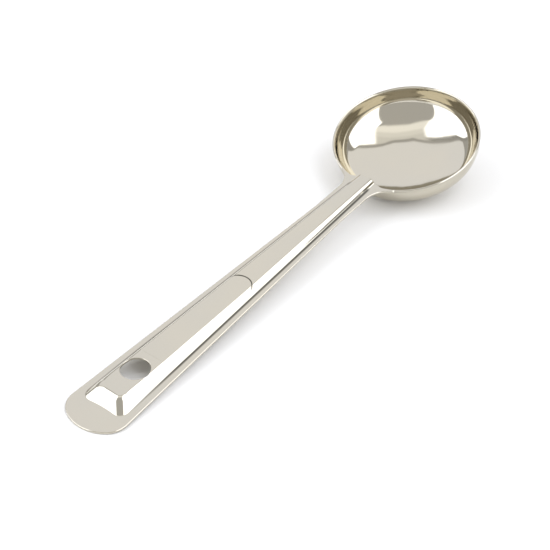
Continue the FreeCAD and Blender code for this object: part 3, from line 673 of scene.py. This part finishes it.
# Camera: the place and the turns that show the ladle as the photograph does
CAMERA_PLACE = (-0.545826, -0.423454, 0.539179)
HEADING = 0.6659785
PITCH = 0.6667061
ROLL = 0.0031236
forward = Vector((math.cos(HEADING) * math.cos(PITCH),
                  math.sin(HEADING) * math.cos(PITCH),
                  -math.sin(PITCH)))
right = Vector((math.sin(HEADING), -math.cos(HEADING), 0))
upward = right.cross(forward)
camera_x = math.cos(ROLL) * right + math.sin(ROLL) * upward
camera_y = -math.sin(ROLL) * right + math.cos(ROLL) * upward
camera_data = bpy.data.cameras.new("camera")
camera = bpy.data.objects.new("camera", camera_data)
bpy.context.scene.collection.objects.link(camera)
camera_data.sensor_width = 36.0
camera_data.lens = 100.747
camera_data.clip_start = 0.05
camera_data.clip_end = 50.0
turn = Matrix((camera_x, camera_y, -forward)).transposed().to_4x4()
camera.matrix_world = Matrix.Translation(CAMERA_PLACE) @ turn
bpy.context.scene.camera = camera

# Colours of the finishes
POLISHED = (0.608, 0.565, 0.466, 1.0)
POLISHED_COOLER = (0.588, 0.552, 0.466, 1.0)
WIPED_FILM = (0.545, 0.509, 0.436, 1.0)
SCRATCHED = (0.710, 0.680, 0.620, 1.0)
# painted shade: near-black colour for the lines along the ridge's feet and round the panel's far end
PAINTED_SHADE_LINE = (0.030, 0.028, 0.020, 1.0)
PAPER_DEEP = (0.87, 0.857, 0.825, 1.0)
PAPER_HIGH = (0.89, 0.877, 0.845, 1.0)
PLAIN_WHITE = (1.0, 1.0, 1.0, 1.0)

# Roughness of the clean polish, and what each mark adds to it
POLISH_ROUGHNESS = 0.065
FILM_ROUGHNESS = 0.06
SCRATCH_ROUGHNESS = 0.16
PAINTED_SHADE_ROUGHNESS = 0.15
LINES_ROUGHNESS = 0.03

# How much each mark changes the colour where it is full
FILM_SHARE = 0.25
SCRATCH_SHARE = 0.35
PAINTED_SHADE_SHARE = 0.93

# Heights of the swell and of the polish lines, in metres
SWELL_HEIGHT = 0.0001
GRAIN_HEIGHT = 0.000004
GRAIN_STRENGTH = 0.35


def new_group(name, inputs, outputs):
    """Empty node group with named sockets; each input is a name, a kind and a value."""
    group = bpy.data.node_groups.new(name, "ShaderNodeTree")
    for label, kind, value in inputs:
        socket = group.interface.new_socket(name=label, in_out="INPUT", socket_type="NodeSocket" + kind)
        if value is not None:
            socket.default_value = value
    for label, kind in outputs:
        group.interface.new_socket(name=label, in_out="OUTPUT", socket_type="NodeSocket" + kind)
    return group, group.nodes.new("NodeGroupInput"), group.nodes.new("NodeGroupOutput")


class Wiring:
    """Short ways to place and join nodes in one tree."""

    def __init__(self, tree):
        self.tree = tree

    def node(self, kind, **settings):
        made = self.tree.nodes.new("ShaderNode" + kind)
        for key, value in settings.items():
            setattr(made, key, value)
        return made

    def feed(self, socket, value):
        if hasattr(value, "is_output"):
            self.tree.links.new(value, socket)
        else:
            socket.default_value = value

    def math_of(self, operation, first, second=0.0, third=0.0, clamp=False):
        made = self.node("Math", operation=operation, use_clamp=clamp)
        for socket, value in zip(made.inputs, (first, second, third)):
            self.feed(socket, value)
        return made.outputs[0]

    def product(self, *values):
        """All the values multiplied, one after the other."""
        total = values[0]
        for value in values[1:]:
            total = self.math_of("MULTIPLY", total, value)
        return total

    def vector_of(self, operation, first, second):
        made = self.node("VectorMath", operation=operation)
        self.feed(made.inputs[0], first)
        self.feed(made.inputs[1], second)
        return made.outputs["Value"] if operation == "DOT_PRODUCT" else made.outputs["Vector"]

    def spread(self, value, low, high, out_low=0.0, out_high=1.0):
        """The value taken from one range to another, softly at both ends."""
        made = self.node("MapRange", interpolation_type="SMOOTHSTEP")
        for socket, number in zip(made.inputs, (value, low, high, out_low, out_high)):
            self.feed(socket, number)
        return made.outputs[0]

    def rising(self, value, edge):
        """0 before a soft edge and 1 after it."""
        return self.spread(value, edge[0], edge[1])

    def falling(self, value, edge):
        """1 before a soft edge and 0 after it."""
        return self.spread(value, edge[0], edge[1], 1.0, 0.0)

    def noise(self, place, scale, detail, roughness=0.5, distortion=0.0):
        made = self.node("TexNoise")
        self.feed(made.inputs["Vector"], place)
        self.feed(made.inputs["Scale"], scale)
        made.inputs["Detail"].default_value = detail
        made.inputs["Roughness"].default_value = roughness
        made.inputs["Distortion"].default_value = distortion
        return made.outputs[0]

    def blend_colours(self, share, first, second):
        made = self.node("Mix", data_type="RGBA", blend_type="MIX")
        self.feed(made.inputs["Factor"], share)
        self.feed(made.inputs["A"], first)
        self.feed(made.inputs["B"], second)
        return made.outputs["Result"]

    def stretched(self, place, scale, turn=(0.0, 0.0, 0.0)):
        made = self.node("Mapping")
        self.feed(made.inputs["Vector"], place)
        made.inputs["Scale"].default_value = scale
        made.inputs["Rotation"].default_value = turn
        return made.outputs[0]

    def bump(self, height, strength, distance):
        made = self.node("Bump")
        made.inputs["Strength"].default_value = strength
        made.inputs["Distance"].default_value = distance
        self.feed(made.inputs["Height"], height)
        return made

    def placed(self, group, **values):
        made = self.node("Group", node_tree=group)
        for key, value in values.items():
            self.feed(made.inputs[key], value)
        return made


def polish_lines_group():
    """Fine lines that the polishing wheel leaves, as a height and a mask."""
    group, given, made = new_group(
        "polish_lines",
        [("Place", "Vector", None), ("Lines", "Float", 900.0), ("Stretch", "Float", 40.0),
         ("Thinness", "Float", 0.62)],
        [("Height", "Float"), ("Mask", "Float")])
    w = Wiring(group)
    shrink = w.node("CombineXYZ")
    w.feed(shrink.inputs[0], w.math_of("DIVIDE", 1.0, given.outputs["Stretch"]))
    shrink.inputs[1].default_value = 1.0
    shrink.inputs[2].default_value = 1.0
    along = w.vector_of("MULTIPLY", given.outputs["Place"], shrink.outputs[0])
    lines = w.noise(along, given.outputs["Lines"], detail=4.0, roughness=0.65)
    w.feed(made.inputs["Height"], lines)
    high = w.math_of("ADD", given.outputs["Thinness"], 0.14)
    w.feed(made.inputs["Mask"], w.spread(lines, given.outputs["Thinness"], high))
    return group


def use_marks_group():
    """Scattered hairline scratches from use, as a mask."""
    group, given, made = new_group(
        "use_marks",
        [("Place", "Vector", None), ("Amount", "Float", 0.5)],
        [("Mask", "Float")])
    w = Wiring(group)
    total = None
    for turn, seed in ((0.35, 0.0), (-0.5, 3.7), (1.2, 8.1)):
        turned = w.stretched(given.outputs["Place"], (24.0, 420.0, 160.0), (0.0, 0.0, turn))
        shifted = w.vector_of("ADD", turned, (seed, seed * 1.7, 0.0))
        crack = w.node("TexVoronoi", feature="DISTANCE_TO_EDGE")
        w.feed(crack.inputs["Vector"], shifted)
        crack.inputs["Scale"].default_value = 1.0
        hair = w.falling(crack.outputs["Distance"], (0.0, 0.025))
        patch = w.noise(w.vector_of("ADD", given.outputs["Place"], (seed, 0.0, 0.0)), 46.0, detail=2.0)
        low = w.math_of("SUBTRACT", 0.86, w.math_of("MULTIPLY", given.outputs["Amount"], 0.35))
        kept = w.product(hair, w.spread(patch, low, w.math_of("ADD", low, 0.06)))
        total = kept if total is None else w.math_of("MAXIMUM", total, kept)
    w.feed(made.inputs["Mask"], total)
    return group


def smudges_group():
    """Faint wiped film on the polish, as a mask."""
    group, given, made = new_group(
        "smudges",
        [("Place", "Vector", None), ("Scale", "Float", 22.0), ("Amount", "Float", 0.5)],
        [("Mask", "Float")])
    w = Wiring(group)
    broad = w.noise(given.outputs["Place"], given.outputs["Scale"], detail=5.0, distortion=0.6)
    low = w.math_of("SUBTRACT", 0.75, w.math_of("MULTIPLY", given.outputs["Amount"], 0.3))
    w.feed(made.inputs["Mask"], w.spread(broad, low, w.math_of("ADD", low, 0.25)))
    return group


def mirror_polished_steel():
    """Stainless sheet, polished on a wheel: warm grey, nearly a mirror, a little wavy."""
    steel = bpy.data.materials.new("mirror_polished_steel")
    steel.use_nodes = True
    w = Wiring(steel.node_tree)
    shader = steel.node_tree.nodes["Principled BSDF"]
    shader.inputs["Metallic"].default_value = 1.0
    shader.inputs["IOR"].default_value = 2.5
    place = w.node("TexCoord").outputs["Object"]
    lines = w.placed(polish_lines_group(), Place=place)
    marks = w.placed(use_marks_group(), Place=place).outputs["Mask"]
    film = w.placed(smudges_group(), Place=place).outputs["Mask"]
    # painted shade: mask of the dark lines along the ridge's feet and round the panel's far end
    crease_shade = w.node("Attribute")
    crease_shade.attribute_name = "crease_shade"
    painted_shade = w.spread(crease_shade.outputs["Fac"], 0.1, 0.9)

    cloud = w.noise(place, 18.0, detail=3.0)
    colour = w.blend_colours(w.spread(cloud, 0.35, 0.65), POLISHED, POLISHED_COOLER)
    colour = w.blend_colours(w.product(film, FILM_SHARE), colour, WIPED_FILM)
    colour = w.blend_colours(w.product(marks, SCRATCH_SHARE), colour, SCRATCHED)
    # painted shade: darkens the polish to near black in those lines
    colour = w.blend_colours(w.product(painted_shade, PAINTED_SHADE_SHARE), colour, PAINTED_SHADE_LINE)
    w.feed(shader.inputs["Base Color"], colour)

    rough = w.math_of("MULTIPLY_ADD", film, FILM_ROUGHNESS, POLISH_ROUGHNESS)
    rough = w.math_of("MULTIPLY_ADD", marks, SCRATCH_ROUGHNESS, rough)
    rough = w.math_of("MULTIPLY_ADD", painted_shade, PAINTED_SHADE_ROUGHNESS, rough)
    rough = w.math_of("MULTIPLY_ADD", lines.outputs["Mask"], LINES_ROUGHNESS, rough, clamp=True)
    w.feed(shader.inputs["Roughness"], rough)

    wave = w.noise(w.stretched(place, (0.5, 1.0, 1.0)), 60.0, detail=2.0, roughness=0.4)
    swell = w.bump(wave, 1.0, SWELL_HEIGHT)
    scored = w.math_of("SUBTRACT", lines.outputs["Height"], marks)
    grain = w.bump(scored, GRAIN_STRENGTH, GRAIN_HEIGHT)
    w.feed(grain.inputs["Normal"], swell.outputs[0])
    w.feed(shader.inputs["Normal"], grain.outputs[0])
    return steel


def table_paper():
    """Plain white paper of the table, with the faintest tooth."""
    paper = bpy.data.materials.new("white_paper")
    paper.use_nodes = True
    w = Wiring(paper.node_tree)
    shader = paper.node_tree.nodes["Principled BSDF"]
    shader.inputs["Specular IOR Level"].default_value = 0.15
    tooth = w.noise(w.node("TexCoord").outputs["Object"], 700.0, detail=3.0)
    w.feed(shader.inputs["Base Color"], w.blend_colours(tooth, PAPER_DEEP, PAPER_HIGH))
    w.feed(shader.inputs["Roughness"], w.math_of("MULTIPLY_ADD", tooth, 0.1, 0.85))
    return paper


ladle.data.materials.clear()
ladle.data.materials.append(mirror_polished_steel())
floor.data.materials.append(table_paper())

# Studio light: a white sweep in front, a soft box on each side, a strip overhead and a dimmer room behind
STUDIO_TURN = 37.9
RIGHT_BOX_TURN = -18.0
ROOM_LIGHT = 0.63
STRIP_LIGHT = 1.36
CEILING_LIGHT = 1.12
FRONT_CEILING_LIGHT = 0.99
GAP_LIGHT = 0.46
LINE_LIGHT = 0.55
SOFT_BOX_LIGHT = 2.6
SWEEP_LIGHT = 1.1
BOX_COLOUR = (0.97, 1.0, 1.08, 1.0)
SWEEP_COLOUR = (1.0, 1.012, 1.075, 1.0)

# Soft edges where one light gives way to the next, each from its start to its end. A direction is
# measured by where it meets a level ceiling: how far ahead of the ladle and how far aside to the left,
# as shares of the ceiling's height. Directions lower than the least rise count as that high.
LEAST_RISE = 0.04
STRIP_BACK = (-0.145, -0.10)
CEILING_BACK = (-0.03, 0.01)
FRONT_CEILING_BACK = (0.05, 0.09)
FRONT_CEILING_END = (0.34, 0.42)
LEFT_GAP_ASIDE = (0.36, 0.52)
LEFT_GAP_AHEAD = (0.02, 0.12)
RIGHT_BOX_ASIDE = (-0.25, -0.19)
RIGHT_BOX_END = (0.37, 0.41)
LEFT_BOX_ASIDE = (0.38, 0.46)
SWEEP_LEFT_END = (1.25, 1.35)
SWEEP_RIGHT_END = (-1.4, -1.3)

# Back edge of the right box, across the upright plane that faces its turn
RIGHT_BOX_BACK = (-0.02, 0.02)

# Slanting line where the left box ends, and its edge across that line
LEFT_BOX_MIDDLE = 0.59
LEFT_BOX_SLANT = 0.55
LEFT_BOX_AHEAD = 0.25
LEFT_BOX_END = (-0.02, 0.02)

# Near border of the sweep, which slants away on both sides, and the edges across that border
SWEEP_NEAR = 0.17
SWEEP_LEFT_FROM = 0.25
SWEEP_LEFT_SLANT = 0.65
SWEEP_RIGHT_SLANT = 0.44
SWEEP_EDGE = (-0.012, 0.012)
BOX_TO_SWEEP = (-0.08, -0.06)
LINE_BEFORE_SWEEP = (-0.06, -0.045)


def heading_of(turn):
    """Level unit vector at a turn from +X towards +Y, in degrees."""
    return (math.cos(math.radians(turn)), math.sin(math.radians(turn)), 0.0)


def studio_room():
    """World that lights the ladle and shows in its polish."""
    room = bpy.data.worlds.new("studio_room")
    room.use_nodes = True
    w = Wiring(room.node_tree)
    shine = room.node_tree.nodes["Background"]
    look = w.node("TexCoord").outputs["Generated"]
    parts = w.node("SeparateXYZ")
    w.feed(parts.inputs[0], look)
    up = w.math_of("MAXIMUM", parts.outputs[2], LEAST_RISE)

    def towards(turn):
        """How far a direction points to a level turn, from -1 to 1."""
        return w.vector_of("DOT_PRODUCT", look, heading_of(turn))

    def only_above_zero(value):
        return w.math_of("MAXIMUM", value, 0.0)

    def lay_over(light, mask, strength):
        """The light, with another one of its own strength in its place where the mask is 1."""
        return w.math_of("MULTIPLY_ADD", mask, w.math_of("SUBTRACT", strength, light), light)

    # where a direction meets the ceiling, and how far past the sweep's near border that is
    ahead = w.math_of("DIVIDE", towards(STUDIO_TURN), up)
    aside = w.math_of("DIVIDE", towards(STUDIO_TURN + 90), up)
    leftward = only_above_zero(w.math_of("SUBTRACT", aside, SWEEP_LEFT_FROM))
    rightward = only_above_zero(w.product(aside, -1.0))
    sweep_border = w.math_of("MULTIPLY_ADD", leftward, SWEEP_LEFT_SLANT, SWEEP_NEAR)
    sweep_border = w.math_of("MULTIPLY_ADD", rightward, SWEEP_RIGHT_SLANT, sweep_border)
    past = w.math_of("SUBTRACT", ahead, sweep_border)

    right_box = w.product(w.rising(towards(RIGHT_BOX_TURN), RIGHT_BOX_BACK),
                          w.falling(aside, RIGHT_BOX_ASIDE),
                          w.falling(past, BOX_TO_SWEEP),
                          w.falling(ahead, RIGHT_BOX_END))
    behind = only_above_zero(w.product(ahead, -1.0))
    left_box = w.rising(w.math_of("SUBTRACT", aside, behind), LEFT_BOX_ASIDE)
    left_end = w.math_of("MULTIPLY_ADD", w.math_of("SUBTRACT", aside, LEFT_BOX_MIDDLE),
                        LEFT_BOX_SLANT, LEFT_BOX_AHEAD)
    left_box = w.product(left_box, w.falling(w.math_of("SUBTRACT", ahead, left_end), LEFT_BOX_END))
    boxes = w.math_of("MAXIMUM", right_box, left_box)
    sweep = w.product(w.rising(past, SWEEP_EDGE), w.falling(aside, SWEEP_LEFT_END),
                      w.rising(aside, SWEEP_RIGHT_END))

    light = w.spread(ahead, STRIP_BACK[0], STRIP_BACK[1], ROOM_LIGHT, STRIP_LIGHT)
    light = lay_over(light, w.rising(ahead, CEILING_BACK), CEILING_LIGHT)
    light = lay_over(light, w.rising(ahead, FRONT_CEILING_BACK), FRONT_CEILING_LIGHT)
    left_gap = w.product(w.rising(aside, LEFT_GAP_ASIDE), w.rising(ahead, LEFT_GAP_AHEAD))
    light = lay_over(light, left_gap, GAP_LIGHT)
    light = lay_over(light, w.rising(ahead, FRONT_CEILING_END), GAP_LIGHT)
    light = lay_over(light, boxes, SOFT_BOX_LIGHT)
    light = lay_over(light, w.rising(past, LINE_BEFORE_SWEEP), LINE_LIGHT)
    light = lay_over(light, sweep, SWEEP_LIGHT)
    w.feed(shine.inputs["Strength"], light)
    colour = w.blend_colours(boxes, PLAIN_WHITE, BOX_COLOUR)
    w.feed(shine.inputs["Color"], w.blend_colours(sweep, colour, SWEEP_COLOUR))
    return room


bpy.context.scene.world = studio_room()
bpy.context.scene.view_settings.view_transform = "Standard"
